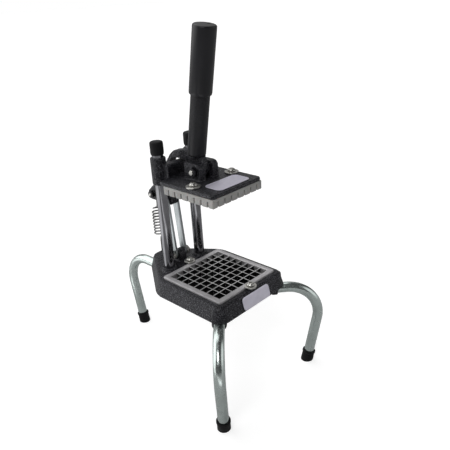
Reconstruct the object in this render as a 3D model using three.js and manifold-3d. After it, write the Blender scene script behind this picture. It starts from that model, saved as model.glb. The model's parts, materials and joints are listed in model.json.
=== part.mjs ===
// Tripod vegetable cutter with a lever-driven pusher, in millimetres, +Z up.
// Everything is laid out from the centre of the knife's top face, then moved so that
// the origin is on the floor under the middle of the whole machine.
import * as THREE from "three";
import { mergeVertices } from "three/addons/utils/BufferGeometryUtils.js";
import Module from "manifold-3d";

const wasm = await Module();
wasm.setup();

// ---------------------------------------------------------------- driving dimensions
const FLOOR = 133.6; // knife top above the floor
const MIDDLE_Y = 47.54; // middle of the whole machine behind the knife's centre
const GAP = 0.3; // between pieces that touch

const CELLS = 8;
const PITCH = 10;
const BLADE = { thick: 0.8, deep: 10, drop: 0.4 };
const KNIFE = { half: 46.4, opening: 40, deep: 12, corner: 3 };
const KNIFE_SCREW_Y = 49.4;

const DECK = -2; // top face of the base
const SKIRT = -20; // lower edge of the base
const FLARE = 5; // how far the skirt spreads on its way down
const WALL = 5;
const DECK_THICK = 6;
// Outline of the deck, right side from the front: x, y, corner radius.
const DECK_CORNERS = [
  [53, -53, 9],
  [53, 46, 26],
  [11, 106.5, 9],
];

const COLUMN = { x: 24.9, y: 58.3, radius: 6.35, foot: -12, top: 150 };
const COLUMN_BOSS = { radius: 9.6, top: 1.5, bottom: -16 };
const STUD = { radius: 4, bottom: -25 };
const CAP = { radius: 7.6, bottom: 141, top: 156 };

const LEG = {
  radius: 6.2,
  height: -25.6, // axis of the level part
  bend: 38.8, // bend radius
  turn: 101.2, // degrees turned from level
  frontX: 58,
  frontY: -54.3, // where the bend of a front leg starts
  splay: 42, // degrees, outwards from straight to the side
  rearY: 136.4, // where the bend of the rear leg starts
};
const SOCKET = { radius: 8.4, frontIn: -18, frontOut: -11, rearIn: 82, rearOut: 110.5 };
const FOOT = { radius: 8.1, height: 16 };

const SLEEVE = { radius: 8.8, bottom: 107, top: 138 };
const PLATE = { half: 38.2, rear: 46, bottom: 112, top: 116 };
const CROSSBAR = { front: 43, rear: 54.5, top: 131 };
const EAR = { inner: 5.3, outer: 14, front: 3, rear: 28.5, top: 134.5 };
const BLOCK = { half: 37.8, top: 111.7, hole: 109.2, under: 108.6, tip: 102, root: 4.3, end: 4.1 };

const PIVOT = [12.5, 126]; // lever on the head: y, z
const LINK_FOOT = [67.5, 6.5]; // links on the base
const LINK_TOP = [73.8, 78]; // links on the lever
const SPRING_TOP = [101.5, 79]; // spring on the lever's tail
const SPRING_FOOT = [102, -11]; // spring on its pin under the deck
const LINK = { inner: 5.8, outer: 8.8, half: 4.6 };
const LEVER_HALF = 4.9; // half the thickness of the lever casting
const BORE = 3.3;
const SHANK = 3;

const TUBE = { radius: 10.25, start: [21.9, 138], lean: 11.1 };
const TUBE_LENGTH = 133;
const GRIP = { radius: 12.3, from: 70, to: 138.4 };

const SPRING = { wire: 0.8, coil: 7, turns: 10, low: 22.5, high: 56 };
const HOOK = 3.4; // radius of the spring's end rings
const SPRING_PIN = 2;

// ---------------------------------------------------------------- finishes
const finish = (color, roughness, metalness) =>
  new THREE.MeshStandardMaterial({ color, roughness, metalness });
const HAMMERTONE = finish(0x2b2b2e, 0.55, 0.3);
const BLACK_PAINT = finish(0x202022, 0.5, 0.2);
const ZINC = finish(0x9ba3a1, 0.35, 0.9);
const DARK_STEEL = finish(0x232325, 0.5, 0.4);
const BRIGHT_STEEL = finish(0xb9bbbf, 0.25, 0.95);
const CAST_ALUMINIUM = finish(0xa9a7a8, 0.5, 0.8);
const BLADE_STEEL = finish(0xc2c4c6, 0.3, 0.95);
const RUBBER = finish(0x141414, 0.85, 0);
const GRIP_VINYL = finish(0x161618, 0.6, 0);
const PUSHER_PLASTIC = finish(0xb3afa8, 0.6, 0);
const LABEL_FOIL = finish(0xbab7c6, 0.35, 0.6);

// ---------------------------------------------------------------- solids
function solidOf(geometry) {
  geometry.deleteAttribute("normal");
  geometry.deleteAttribute("uv");
  const merged = mergeVertices(geometry, 1e-4);
  const vertProperties = new Float32Array(merged.attributes.position.array);
  const triVerts = new Uint32Array(merged.index.array);
  return new wasm.Manifold(new wasm.Mesh({ numProp: 3, vertProperties, triVerts }));
}

// Turns an outline's own axes and its pull direction to stand along x, y or z.
const AXES = {
  x: new THREE.Matrix4().makeBasis(
    new THREE.Vector3(0, 1, 0), new THREE.Vector3(0, 0, 1), new THREE.Vector3(1, 0, 0)),
  y: new THREE.Matrix4().makeBasis(
    new THREE.Vector3(0, 0, 1), new THREE.Vector3(1, 0, 0), new THREE.Vector3(0, 1, 0)),
  z: new THREE.Matrix4(),
};

const shapeOf = (points) => new THREE.Shape(points.map(([u, v]) => new THREE.Vector2(u, v)));

// An outline pulled along an axis. Along x the outline is y, z; along y it is z, x.
function prism(points, from, to, axis = "z") {
  const options = { depth: to - from, bevelEnabled: false };
  const geometry = new THREE.ExtrudeGeometry(shapeOf(points), options);
  return solidOf(geometry.translate(0, 0, from).applyMatrix4(AXES[axis]));
}

function box(x0, x1, y0, y1, z0, z1) {
  const geometry = new THREE.BoxGeometry(x1 - x0, y1 - y0, z1 - z0);
  return solidOf(geometry.translate((x0 + x1) / 2, (y0 + y1) / 2, (z0 + z1) / 2));
}

// Round solid along an axis; profile is a list of [radius, distance along the axis].
function turned(profile, [u, v] = [0, 0], axis = "z", sides = 20) {
  const first = profile[0][1];
  const last = profile[profile.length - 1][1];
  const points = [[0, first], ...profile, [0, last]].map(([r, w]) => new THREE.Vector2(r, w));
  const geometry = new THREE.LatheGeometry(points, sides);
  return solidOf(geometry.rotateX(Math.PI / 2).translate(u, v, 0).applyMatrix4(AXES[axis]));
}

function rod(radius, from, to, [u, v] = [0, 0], axis = "z", sides = 20) {
  const geometry = new THREE.CylinderGeometry(radius, radius, to - from, sides);
  geometry.rotateX(Math.PI / 2).translate(u, v, (from + to) / 2);
  return solidOf(geometry.applyMatrix4(AXES[axis]));
}

// Round bar of constant radius along a curve.
function bar(curve, radius, steps, sides = 12) {
  const section = shapeOf(circle(radius, sides));
  return solidOf(new THREE.ExtrudeGeometry(section, { extrudePath: curve, steps }));
}

function circle(radius, sides, u = 0, v = 0) {
  return Array.from({ length: sides }, (_, i) => {
    const angle = (i / sides) * 2 * Math.PI;
    return [u + radius * Math.cos(angle), v + radius * Math.sin(angle)];
  });
}

// Rounds the corners [u, v, radius] of an outline and spreads it outwards by grow.
function rounded(corners, grow = 0, steps = 4) {
  const points = [];
  corners.forEach(([u, v, radius], i) => {
    const before = corners[(i + corners.length - 1) % corners.length];
    const after = corners[(i + 1) % corners.length];
    const into = Math.atan2(v - before[1], u - before[0]);
    const out = Math.atan2(after[1] - v, after[0] - u);
    const turn = Math.atan2(Math.sin(out - into), Math.cos(out - into));
    const side = Math.sign(turn);
    const back = radius * Math.tan(Math.abs(turn) / 2);
    const cu = u - Math.cos(into) * back - Math.sin(into) * radius * side;
    const cv = v - Math.sin(into) * back + Math.cos(into) * radius * side;
    const reach = radius * side + grow;
    for (let k = 0; k <= steps; k += 1) {
      const angle = into + (turn * k) / steps;
      points.push([cu + reach * Math.sin(angle), cv - reach * Math.cos(angle)]);
    }
  });
  return points;
}

// Solid through one outline that spreads by a different amount at each height.
function flared(corners, levels) {
  const outlines = levels.map(([grow]) => rounded(corners, grow));
  const count = outlines[0].length;
  const positions = outlines.flatMap((outline, i) => outline.flatMap(([x, y]) => [x, y, levels[i][1]]));
  const last = (levels.length - 1) * count;
  const index = [];
  for (let ring = 0; ring < last; ring += count) {
    for (let i = 0; i < count; i += 1) {
      const a = ring + i;
      const b = ring + ((i + 1) % count);
      index.push(a, b, b + count, a, b + count, a + count);
    }
  }
  const contour = outlines[0].map(([x, y]) => new THREE.Vector2(x, y));
  for (const [a, b, c] of THREE.ShapeUtils.triangulateShape(contour, [])) {
    index.push(c, b, a, last + a, last + b, last + c);
  }
  const geometry = new THREE.BufferGeometry();
  geometry.setAttribute("position", new THREE.Float32BufferAttribute(positions, 3));
  geometry.setIndex(index);
  return solidOf(geometry);
}

const join = (...solids) => solids.reduce((sum, solid) => sum.add(solid));
const cut = (solid, ...tools) => tools.reduce((rest, tool) => rest.subtract(tool), solid);
const mirrored = (solid) => solid.mirror([1, 0, 0]);

const model = new THREE.Group();
model.name = "tripod_vegetable_cutter";

function piece(name, material, solid) {
  const { vertProperties, triVerts } = solid.translate([0, -MIDDLE_Y, FLOOR]).getMesh();
  const geometry = new THREE.BufferGeometry();
  geometry.setAttribute("position", new THREE.BufferAttribute(new Float32Array(vertProperties), 3));
  geometry.setIndex(new THREE.BufferAttribute(new Uint32Array(triVerts), 1));
  geometry.computeVertexNormals();
  const mesh = new THREE.Mesh(geometry, material);
  mesh.name = name;
  model.add(mesh);
}

// ---------------------------------------------------------------- fixings
const hexagon = (across, centre) => circle(across / Math.sqrt(3), 6, ...centre);

function washer(inner, outer, from, to, centre, axis = "z") {
  return cut(rod(outer, from, to, centre, axis, 18), rod(inner, from - 1, to + 1, centre, axis, 10));
}

// Pan-head screw, head upwards.
function panScrew(x, y, top, shank, head, bottom) {
  return join(
    turned([[head, top - 3], [head, top - 1.6], [head * 0.62, top]], [x, y], "z", 14),
    rod(shank, bottom, top - 2.5, [x, y], "z", 10),
  );
}

// Hex-head bolt across the machine, head on the left, shank to the right.
function crossBolt(centre, shank, headFrom, headTo, end, across) {
  return join(
    prism(hexagon(across, centre), headFrom, headTo, "x"),
    rod(shank, headTo - 0.5, end, centre, "x", 14),
  );
}

function crossNut(centre, bore, from, to, across) {
  return cut(prism(hexagon(across, centre), from, to, "x"), rod(bore, from - 1, to + 1, centre, "x", 14));
}

// ---------------------------------------------------------------- base
const LEFT_CORNERS = DECK_CORNERS.map(([x, y, r]) => [-x, y, r]).reverse();
const OUTLINE = [...DECK_CORNERS, ...LEFT_CORNERS];

const frontDirection = new THREE.Vector3(
  Math.cos(THREE.MathUtils.degToRad(LEG.splay)),
  -Math.sin(THREE.MathUtils.degToRad(LEG.splay)),
  0,
);
const rearDirection = new THREE.Vector3(0, 1, 0);
const frontBend = new THREE.Vector3(LEG.frontX, LEG.frontY, LEG.height);
const rearBend = new THREE.Vector3(0, LEG.rearY, LEG.height);

// Centre line of a leg: level, then round the bend, then straight down to a height.
class LegLine extends THREE.Curve {
  constructor(bend, direction, start, bottom) {
    super();
    Object.assign(this, { bend, direction, start });
    this.turn = THREE.MathUtils.degToRad(LEG.turn);
    this.arc = LEG.bend * this.turn;
    const drop = bend.z - bottom - LEG.bend * (1 - Math.cos(this.turn));
    this.down = drop / Math.sin(this.turn);
    this.total = this.arc + this.down - start;
  }

  getPoint(t, target = new THREE.Vector3()) {
    const along = this.start + t * this.total;
    const angle = THREE.MathUtils.clamp(along / LEG.bend, 0, this.turn);
    const beyond = Math.max(along - this.arc, 0);
    const level = Math.min(along, 0);
    const reach = level + LEG.bend * Math.sin(angle) + beyond * Math.cos(this.turn);
    const drop = LEG.bend * (1 - Math.cos(angle)) + beyond * Math.sin(this.turn);
    target.copy(this.bend).addScaledVector(this.direction, reach);
    target.z -= drop;
    return target;
  }
}

const straight = (start, direction, from, to) => new THREE.LineCurve3(
  start.clone().addScaledVector(direction, from),
  start.clone().addScaledVector(direction, to),
);

const socketRight = bar(
  straight(frontBend, frontDirection, SOCKET.frontIn, SOCKET.frontOut), SOCKET.radius, 1, 16);
const boreRight = bar(straight(frontBend, frontDirection, -16 - GAP, 20), LEG.radius + GAP, 1, 14);
const socketRear = rod(SOCKET.radius, SOCKET.rearIn, SOCKET.rearOut, [LEG.height, 0], "y", 16);
const boreRear = rod(LEG.radius + GAP, SOCKET.rearIn + 2, 140, [LEG.height, 0], "y", 16);

const columnBoss = turned(
  [[COLUMN_BOSS.radius + 1.5, COLUMN_BOSS.bottom], [COLUMN_BOSS.radius, COLUMN_BOSS.top]],
  [COLUMN.x, COLUMN.y]);
const columnBore = join(
  rod(COLUMN.radius + GAP, COLUMN.foot - GAP, 10, [COLUMN.x, COLUMN.y], "z", 20),
  rod(STUD.radius + GAP, -30, COLUMN.foot, [COLUMN.x, COLUMN.y], "z", 12),
);
const frontPost = rod(7.5, LEG.height, DECK - 3, [48, -45], "z", 16);
const lugPoints = rounded(
  [[61.5, DECK - 3, 0.5], [73.5, DECK - 3, 0.5], [73.5, 12.4, 5.9], [61.5, 12.4, 5.9]]);
const linkLug = prism(lugPoints, GAP - LINK.inner, LINK.inner - GAP, "x");
const knifeSeat = KNIFE.half + GAP;
const screwHoles = [-KNIFE_SCREW_Y, KNIFE_SCREW_Y].map((y) => rod(3, -30, 5, [0, y], "z", 10));

const baseCasting = cut(
  join(
    cut(
      flared(OUTLINE, [
        [FLARE, SKIRT], [FLARE - 0.4, SKIRT + 2], [0.9, DECK - 3.2], [0, DECK - 1.2], [-1.4, DECK]]),
      flared(OUTLINE, [[FLARE + 1 - WALL, SKIRT - 5], [1 - WALL, DECK - DECK_THICK]]),
    ),
    box(-51, 51, -51.5, 52, -16, DECK - 2),
    columnBoss,
    mirrored(columnBoss),
    frontPost,
    mirrored(frontPost),
    socketRight,
    mirrored(socketRight),
    socketRear,
    box(-5, 5, SOCKET.rearIn + 1, 95, LEG.height + 8, DECK - 3),
    linkLug,
  ),
  box(-knifeSeat, knifeSeat, -knifeSeat, knifeSeat, -KNIFE.deep - GAP, 5),
  box(-42, 42, -42, 42, -30, 5),
  columnBore,
  mirrored(columnBore),
  boreRight,
  mirrored(boreRight),
  boreRear,
  rod(BORE, -10, 10, LINK_FOOT, "x", 14),
  prism(rounded([[-2, 96.5, 1.9], [2, 96.5, 1.9], [2, 104.5, 1.9], [-2, 104.5, 1.9]]), -15, 5),
  box(-10.5, 10.5, 96.5, 106.5, -16.5, DECK - DECK_THICK + 0.5),
  ...screwHoles,
);
piece("base_casting", HAMMERTONE, baseCasting);

// ---------------------------------------------------------------- knife
const square = (half, radius) => [
  [-half, -half, radius], [half, -half, radius], [half, half, radius], [-half, half, radius],
];
piece("knife_frame", CAST_ALUMINIUM, cut(
  prism(rounded(square(KNIFE.half, KNIFE.corner)), -KNIFE.deep, 0),
  box(-KNIFE.opening, KNIFE.opening, -KNIFE.opening, KNIFE.opening, -KNIFE.deep - 1, 1),
));

const bladeHalf = KNIFE.opening - GAP;
const lap = BLADE.thick / 2 + GAP;

// One blade as an outline of length and height, notched where the others cross it.
function bladeOutline(bottom, top, notchFrom, notchTo) {
  const crossings = Array.from({ length: CELLS - 1 }, (_, i) => (i + 1 - CELLS / 2) * PITCH);
  const notched = crossings.flatMap((u) => [
    [u - lap, notchFrom], [u - lap, notchTo], [u + lap, notchTo], [u + lap, notchFrom],
  ]);
  return notchTo > notchFrom
    ? [[-bladeHalf, bottom], ...notched, [bladeHalf, bottom], [bladeHalf, top], [-bladeHalf, top]]
    : [[-bladeHalf, bottom], [bladeHalf, bottom], [bladeHalf, top], ...notched.reverse(),
      [-bladeHalf, top]];
}

const bladeMiddle = -BLADE.deep / 2;
const sideways = bladeOutline(-BLADE.deep, 0, -BLADE.deep, bladeMiddle + GAP);
const lengthways = bladeOutline(-BLADE.deep - BLADE.drop, -BLADE.drop, -BLADE.drop, bladeMiddle - GAP);
const swapped = ([u, v]) => [v, u];
for (let i = 1; i < CELLS; i += 1) {
  const at = (i - CELLS / 2) * PITCH;
  const [from, to] = [at - BLADE.thick / 2, at + BLADE.thick / 2];
  piece(`blade_across_${i}`, BLADE_STEEL, prism(sideways.map(swapped).reverse(), from, to, "y"));
  piece(`blade_lengthways_${i}`, BLADE_STEEL, prism(lengthways, from, to, "x"));
}

for (const [end, y] of [["front", -KNIFE_SCREW_Y], ["rear", KNIFE_SCREW_Y]]) {
  piece(`knife_washer_${end}`, ZINC, washer(2.7, 7, GAP, 1.8, [0, y]));
  piece(`knife_screw_${end}`, ZINC, panScrew(0, y, 5.2, 2.3, 4.4, -14));
}

// ---------------------------------------------------------------- columns
const column = join(
  turned(
    [[COLUMN.radius, COLUMN.foot], [COLUMN.radius, COLUMN.top - 1], [COLUMN.radius - 1, COLUMN.top]],
    [COLUMN.x, COLUMN.y]),
  rod(STUD.radius, STUD.bottom, COLUMN.foot + 1, [COLUMN.x, COLUMN.y], "z", 16),
);
const columnNut = cut(
  prism(hexagon(13, [COLUMN.x, COLUMN.y]), COLUMN_BOSS.bottom - 6.8, COLUMN_BOSS.bottom - GAP),
  rod(STUD.radius + GAP, -30, 0, [COLUMN.x, COLUMN.y], "z", 16),
);
const columnCap = cut(
  turned(
    [[CAP.radius - 0.6, CAP.bottom], [CAP.radius, CAP.bottom + 1], [CAP.radius, CAP.top - 2],
      [CAP.radius - 0.7, CAP.top - 0.6], [CAP.radius - 2.2, CAP.top]],
    [COLUMN.x, COLUMN.y]),
  rod(COLUMN.radius + GAP, CAP.bottom - 5, COLUMN.top + GAP, [COLUMN.x, COLUMN.y]),
);
for (const [name, material, solid] of [
  ["column", BRIGHT_STEEL, column],
  ["column_nut", ZINC, columnNut],
  ["column_cap", RUBBER, columnCap],
]) {
  piece(`${name}_left`, material, mirrored(solid));
  piece(`${name}_right`, material, solid);
}

// ---------------------------------------------------------------- legs and feet
function footSolid(line) {
  const end = line.getPoint(1);
  const down = end.clone().sub(line.getPoint(0.97)).normalize();
  const length = (radius, from, to) => bar(straight(end, down, from, to), radius, 1, 16);
  return cut(
    join(
      length(FOOT.radius, 5 - FOOT.height, 8),
      length(FOOT.radius - 0.7, 3.6 - FOOT.height, 0),
    ),
    length(LEG.radius + GAP, -40, GAP),
    box(-300, 300, -300, 300, -FLOOR - 40, -FLOOR),
  );
}

const legEnd = -FLOOR + 3;
const rightLeg = new LegLine(frontBend, frontDirection, -16, legEnd);
const rearLeg = new LegLine(rearBend, rearDirection, SOCKET.rearIn + 2 + GAP - LEG.rearY, legEnd);
piece("leg_front_right", ZINC, bar(rightLeg, LEG.radius, 16, 14));
piece("leg_front_left", ZINC, mirrored(bar(rightLeg, LEG.radius, 16, 14)));
piece("leg_rear", ZINC, bar(rearLeg, LEG.radius, 22, 14));
piece("foot_front_right", RUBBER, footSolid(rightLeg));
piece("foot_front_left", RUBBER, mirrored(footSolid(rightLeg)));
piece("foot_rear", RUBBER, footSolid(rearLeg));

// ---------------------------------------------------------------- name plates
const frontSlope = Math.atan2(FLARE - 1, -SKIRT + DECK - 4);
const platePoints = rounded([[-22, -7.6, 4], [22, -7.6, 4], [22, 7.6, 4], [-22, 7.6, 4]]);
const basePlate = prism(platePoints, GAP, 0.8 + GAP)
  .rotate([90 - THREE.MathUtils.radToDeg(frontSlope), 0, 0])
  .translate([1, -56.1, -11.4]);
piece("base_name_plate", LABEL_FOIL, basePlate);
piece("head_name_plate", LABEL_FOIL, prism(
  rounded([[-23, -34, 5], [25, -34, 5], [25, -10, 5], [-23, -10, 5]]),
  PLATE.top + GAP, PLATE.top + GAP + 0.8));

// ---------------------------------------------------------------- pusher head
const sleeve = turned(
  [[SLEEVE.radius - 0.8, SLEEVE.bottom], [SLEEVE.radius, SLEEVE.bottom + 1],
    [SLEEVE.radius, SLEEVE.top - 1], [SLEEVE.radius - 1, SLEEVE.top]],
  [COLUMN.x, COLUMN.y]);
const sleeveBore = rod(COLUMN.radius + GAP, 90, 150, [COLUMN.x, COLUMN.y]);
const ear = prism(
  rounded([[EAR.front, PLATE.top - 2, 0.5], [EAR.rear, PLATE.top - 2, 0.5],
    [EAR.rear, EAR.top, 3], [EAR.front, EAR.top, 6]]),
  EAR.inner, EAR.outer, "x");
const plateBody = flared(
  [[-PLATE.half, -PLATE.half, 5], [PLATE.half, -PLATE.half, 5], [PLATE.half, PLATE.rear, 5],
    [-PLATE.half, PLATE.rear, 5]],
  [[0, PLATE.bottom], [0, PLATE.top - 1], [-1, PLATE.top]]);
const crossbar = prism(
  rounded([[CROSSBAR.front, PLATE.bottom, 0.5], [CROSSBAR.rear, PLATE.bottom, 0.5],
    [CROSSBAR.rear, CROSSBAR.top, 3], [CROSSBAR.front, CROSSBAR.top, 3]]),
  -COLUMN.x, COLUMN.x, "x");
const HEAD_SCREW = [29.5, -1.5];
const headHole = rod(2.7, 90, 120, HEAD_SCREW, "z", 12);

piece("pusher_head", HAMMERTONE, cut(
  join(plateBody, crossbar, sleeve, mirrored(sleeve), ear, mirrored(ear)),
  sleeveBore,
  mirrored(sleeveBore),
  rod(BORE, -20, 20, PIVOT, "x", 14),
  headHole,
  mirrored(headHole),
));

// One tapered square pin of the pusher.
function pin(x, y) {
  const across = Math.SQRT2;
  const height = BLOCK.under + 0.5 - BLOCK.tip;
  const geometry = new THREE.CylinderGeometry(BLOCK.root * across, BLOCK.end * across, height, 4);
  geometry.rotateY(Math.PI / 4).rotateX(Math.PI / 2);
  return solidOf(geometry.translate(x, y, BLOCK.tip + height / 2));
}

const pins = [];
for (let i = 0; i < CELLS; i += 1) {
  for (let j = 0; j < CELLS; j += 1) {
    pins.push(pin((i + 0.5 - CELLS / 2) * PITCH, (j + 0.5 - CELLS / 2) * PITCH));
  }
}
const withPins = join(
  box(-BLOCK.half, BLOCK.half, -BLOCK.half, BLOCK.half, BLOCK.under, BLOCK.top),
  ...pins,
);
piece("pusher_block", PUSHER_PLASTIC, cut(
  withPins.intersect(box(-BLOCK.half, BLOCK.half, -BLOCK.half, BLOCK.half, 100, 120)),
  rod(2.7, BLOCK.hole, 120, HEAD_SCREW, "z", 12),
  rod(2.7, BLOCK.hole, 120, [-HEAD_SCREW[0], HEAD_SCREW[1]], "z", 12),
));

for (const [side, x] of [["left", -HEAD_SCREW[0]], ["right", HEAD_SCREW[0]]]) {
  const [, y] = HEAD_SCREW;
  piece(`head_washer_${side}`, ZINC, washer(2.7, 8, PLATE.top + GAP, PLATE.top + 1.8, [x, y]));
  piece(`head_screw_${side}`, ZINC, panScrew(x, y, PLATE.top + 5.2, 2.3, 4.4, BLOCK.hole + GAP));
}
piece("pivot_bolt", ZINC, mirrored(crossBolt(PIVOT, SHANK, -18, -EAR.outer - GAP, 19.4, 10)));
piece("pivot_nut", DARK_STEEL, mirrored(crossNut(PIVOT, BORE, EAR.outer + GAP, 18.4, 10)));

// ---------------------------------------------------------------- lever
// A round solid standing on the handle's axis; distances run up the handle.
const onHandle = (profile, sides = 22) =>
  turned(profile, [0, 0], "z", sides)
    .rotate([TUBE.lean, 0, 0])
    .translate([0, ...TUBE.start]);

const leverOutline = rounded([
  [3.8, 117.3, 8.6],
  [20.5, 117.3, 6],
  [29, 133.5, 6],
  [58, 133.5, 5],
  [64.5, 124, 6],
  [64.5, 71.5, 6],
  [109.5, 71.5, 7.4],
  [109.5, 82, 6],
  [91, 98, 25],
  [61.5, 136, 8],
  [54.5, 141.5, 8],
  [28, 146.5, 3],
  [11, 137, 3],
]);
const pocketOutline = rounded([
  [69, 90, 3],
  [85, 90, 5],
  [85.5, 98, 5],
  [69, 119.5, 4],
]);
const pocket = prism(pocketOutline, 2, 10, "x");
const clevis = box(-1.8, 1.8, 92, 120, 60, 90);
const leverBody = cut(
  join(
    cut(
      prism(leverOutline, -LEVER_HALF, LEVER_HALF, "x"),
      onHandle([[TUBE.radius + GAP, 3], [TUBE.radius + GAP, 30]]),
    ),
    onHandle([[TUBE.radius - 2.5, 0.6], [TUBE.radius, 2.2], [TUBE.radius, 3]]),
    onHandle([[7, 2], [7, 22]], 16),
  ),
  pocket,
  mirrored(pocket),
  clevis,
  rod(BORE, -20, 20, PIVOT, "x", 14),
  rod(BORE, -20, 20, LINK_TOP, "x", 14),
  rod(SPRING_PIN + GAP, -20, 20, SPRING_TOP, "x", 14),
);
piece("lever_arm", HAMMERTONE, leverBody);

piece("handle_tube", BLACK_PAINT, cut(
  onHandle([[TUBE.radius, 3 + GAP], [TUBE.radius, TUBE_LENGTH]]),
  onHandle([[7 + GAP, 0], [7 + GAP, TUBE_LENGTH + 5]], 16),
));
piece("handle_grip", GRIP_VINYL, cut(
  onHandle([[GRIP.radius - 0.9, GRIP.from], [GRIP.radius, GRIP.from + 1.2],
    [GRIP.radius, GRIP.to - 2.6], [GRIP.radius - 0.8, GRIP.to - 0.8], [GRIP.radius - 2.4, GRIP.to]]),
  onHandle([[TUBE.radius + GAP, GRIP.from - 10], [TUBE.radius + GAP, TUBE_LENGTH + GAP]]),
));
piece("tail_bolt", ZINC, mirrored(
  crossBolt(SPRING_TOP, SPRING_PIN, -8.2, -LEVER_HALF - GAP, 10, 8)));
piece("tail_nut", DARK_STEEL, mirrored(
  crossNut(SPRING_TOP, SPRING_PIN + GAP, LEVER_HALF + GAP, 8.8, 8)));

// ---------------------------------------------------------------- links
function linkOutline() {
  const [y0, z0] = LINK_FOOT;
  const [y1, z1] = LINK_TOP;
  const along = Math.atan2(z1 - z0, y1 - y0);
  const arc = (y, z, from) => Array.from({ length: 9 }, (_, i) => {
    const angle = along + from + (Math.PI * i) / 8;
    return [y + LINK.half * Math.cos(angle), z + LINK.half * Math.sin(angle)];
  });
  return [...arc(y1, z1, -Math.PI / 2), ...arc(y0, z0, Math.PI / 2)];
}
const linkRight = cut(
  prism(linkOutline(), LINK.inner, LINK.outer, "x"),
  rod(BORE, 0, 20, LINK_FOOT, "x", 14),
  rod(BORE, 0, 20, LINK_TOP, "x", 14),
);
piece("link_left", ZINC, mirrored(linkRight));
piece("link_right", ZINC, linkRight);

// Rivets close the links' top holes; the lever's own pin ends between the links.
const rivet = join(
  rod(SHANK, LINK.inner + 0.1, LINK.outer + 1, LINK_TOP, "x", 14),
  turned([[5.4, LINK.outer + GAP], [4.8, LINK.outer + 1.7], [2.6, LINK.outer + 2.6]],
    LINK_TOP, "x", 14),
);
piece("link_rivet_left", ZINC, mirrored(rivet));
piece("link_rivet_right", ZINC, rivet);
piece("lever_pin", ZINC, rod(SHANK, -5.3, 5.3, LINK_TOP, "x", 14));
piece("link_bolt", ZINC, crossBolt(LINK_FOOT, SHANK, -12.8, -LINK.outer - GAP, 14.6, 10));
piece("link_nut", ZINC, crossNut(LINK_FOOT, BORE, LINK.outer + GAP, 13.8, 10));

// ---------------------------------------------------------------- return spring
const springAxis = new THREE.Vector3(
  0, SPRING_TOP[0] - SPRING_FOOT[0], SPRING_TOP[1] - SPRING_FOOT[1]);
const springLength = springAxis.length();
springAxis.normalize();
const springSide = new THREE.Vector3(0, -springAxis.z, springAxis.y);

// A point of the spring: how far up its axis, then across it and to the side.
const onSpring = (up, across, side) =>
  new THREE.Vector3(side, ...SPRING_FOOT)
    .addScaledVector(springAxis, up)
    .addScaledVector(springSide, across);

// Points round an open end ring, starting where it meets the straight wire.
const ringPoints = (centre, start, turn) =>
  Array.from({ length: 11 }, (_, i) => {
    const angle = start + (i / 10) * turn;
    return onSpring(centre + HOOK * Math.sin(angle), HOOK * Math.cos(angle), 0);
  });

const wire = (points, steps) =>
  bar(new THREE.CatmullRomCurve3(points, false, "centripetal"), SPRING.wire, steps, 6);

const slack = HOOK - SPRING.wire - SPRING_PIN - 2 * GAP;
const coilLow = SPRING.low - SPRING_FOOT[1];
const coilHigh = SPRING.high - SPRING_FOOT[1];
const coilSteps = SPRING.turns * 9;
const coilPoints = Array.from({ length: coilSteps + 1 }, (_, i) => {
  const angle = (i / 9) * 2 * Math.PI;
  const up = coilLow + (coilHigh - coilLow) * (i / coilSteps);
  return onSpring(up, SPRING.coil * Math.cos(angle), SPRING.coil * Math.sin(angle));
});
piece("spring_coil", ZINC, join(
  wire(ringPoints(-slack, Math.PI / 2, -Math.PI * 1.6), 12),
  wire([onSpring(HOOK - slack - 0.3, 0, 0), onSpring(coilLow - 5, 0, 0), onSpring(coilLow - 2.5, 2, 0),
    onSpring(coilLow - 0.4, SPRING.coil, -1), coilPoints[0]], 8),
  wire(coilPoints, SPRING.turns * 9),
));
piece("spring_hook", ZINC, join(
  wire([onSpring(coilHigh + 2.4, SPRING.coil - 0.5, 0), onSpring(coilHigh + 3.8, 3, 0),
    onSpring(coilHigh + 6.5, 0, 0), onSpring(springLength - HOOK + slack + 0.3, 0, 0)], 7),
  wire(ringPoints(springLength + slack, -Math.PI / 2, Math.PI * 1.6), 12),
));
piece("spring_pin", ZINC, rod(SPRING_PIN, -9, 9, SPRING_FOOT, "x", 14));

export default model;
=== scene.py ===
"""Looks of a tripod vegetable cutter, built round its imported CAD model.

Shapes are laid out in millimetres from the centre of the knife's top face, as the CAD model is,
and a piece is moved into the model's own frame, in metres, when it is placed.
"""
import json
import math

import bmesh
import bpy
from mathutils import Matrix, Vector

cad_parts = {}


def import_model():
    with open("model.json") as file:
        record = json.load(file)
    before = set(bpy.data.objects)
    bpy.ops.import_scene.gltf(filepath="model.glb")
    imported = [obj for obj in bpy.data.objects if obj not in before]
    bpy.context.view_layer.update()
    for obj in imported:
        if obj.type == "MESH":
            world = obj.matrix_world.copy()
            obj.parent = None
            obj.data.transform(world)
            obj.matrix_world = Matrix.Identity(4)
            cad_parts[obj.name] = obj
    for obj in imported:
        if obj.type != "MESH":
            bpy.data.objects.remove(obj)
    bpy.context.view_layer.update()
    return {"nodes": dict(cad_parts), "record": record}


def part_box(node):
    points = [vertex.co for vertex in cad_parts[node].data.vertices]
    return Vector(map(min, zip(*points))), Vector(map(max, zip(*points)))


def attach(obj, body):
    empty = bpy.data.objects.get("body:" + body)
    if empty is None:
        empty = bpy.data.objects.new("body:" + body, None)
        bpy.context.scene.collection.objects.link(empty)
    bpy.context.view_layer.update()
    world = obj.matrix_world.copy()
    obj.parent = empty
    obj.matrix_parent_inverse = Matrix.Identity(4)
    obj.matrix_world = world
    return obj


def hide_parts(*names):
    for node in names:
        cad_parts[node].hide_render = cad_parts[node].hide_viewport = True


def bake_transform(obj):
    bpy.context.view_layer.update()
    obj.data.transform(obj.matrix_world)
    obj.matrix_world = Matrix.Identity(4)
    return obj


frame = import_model()

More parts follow.
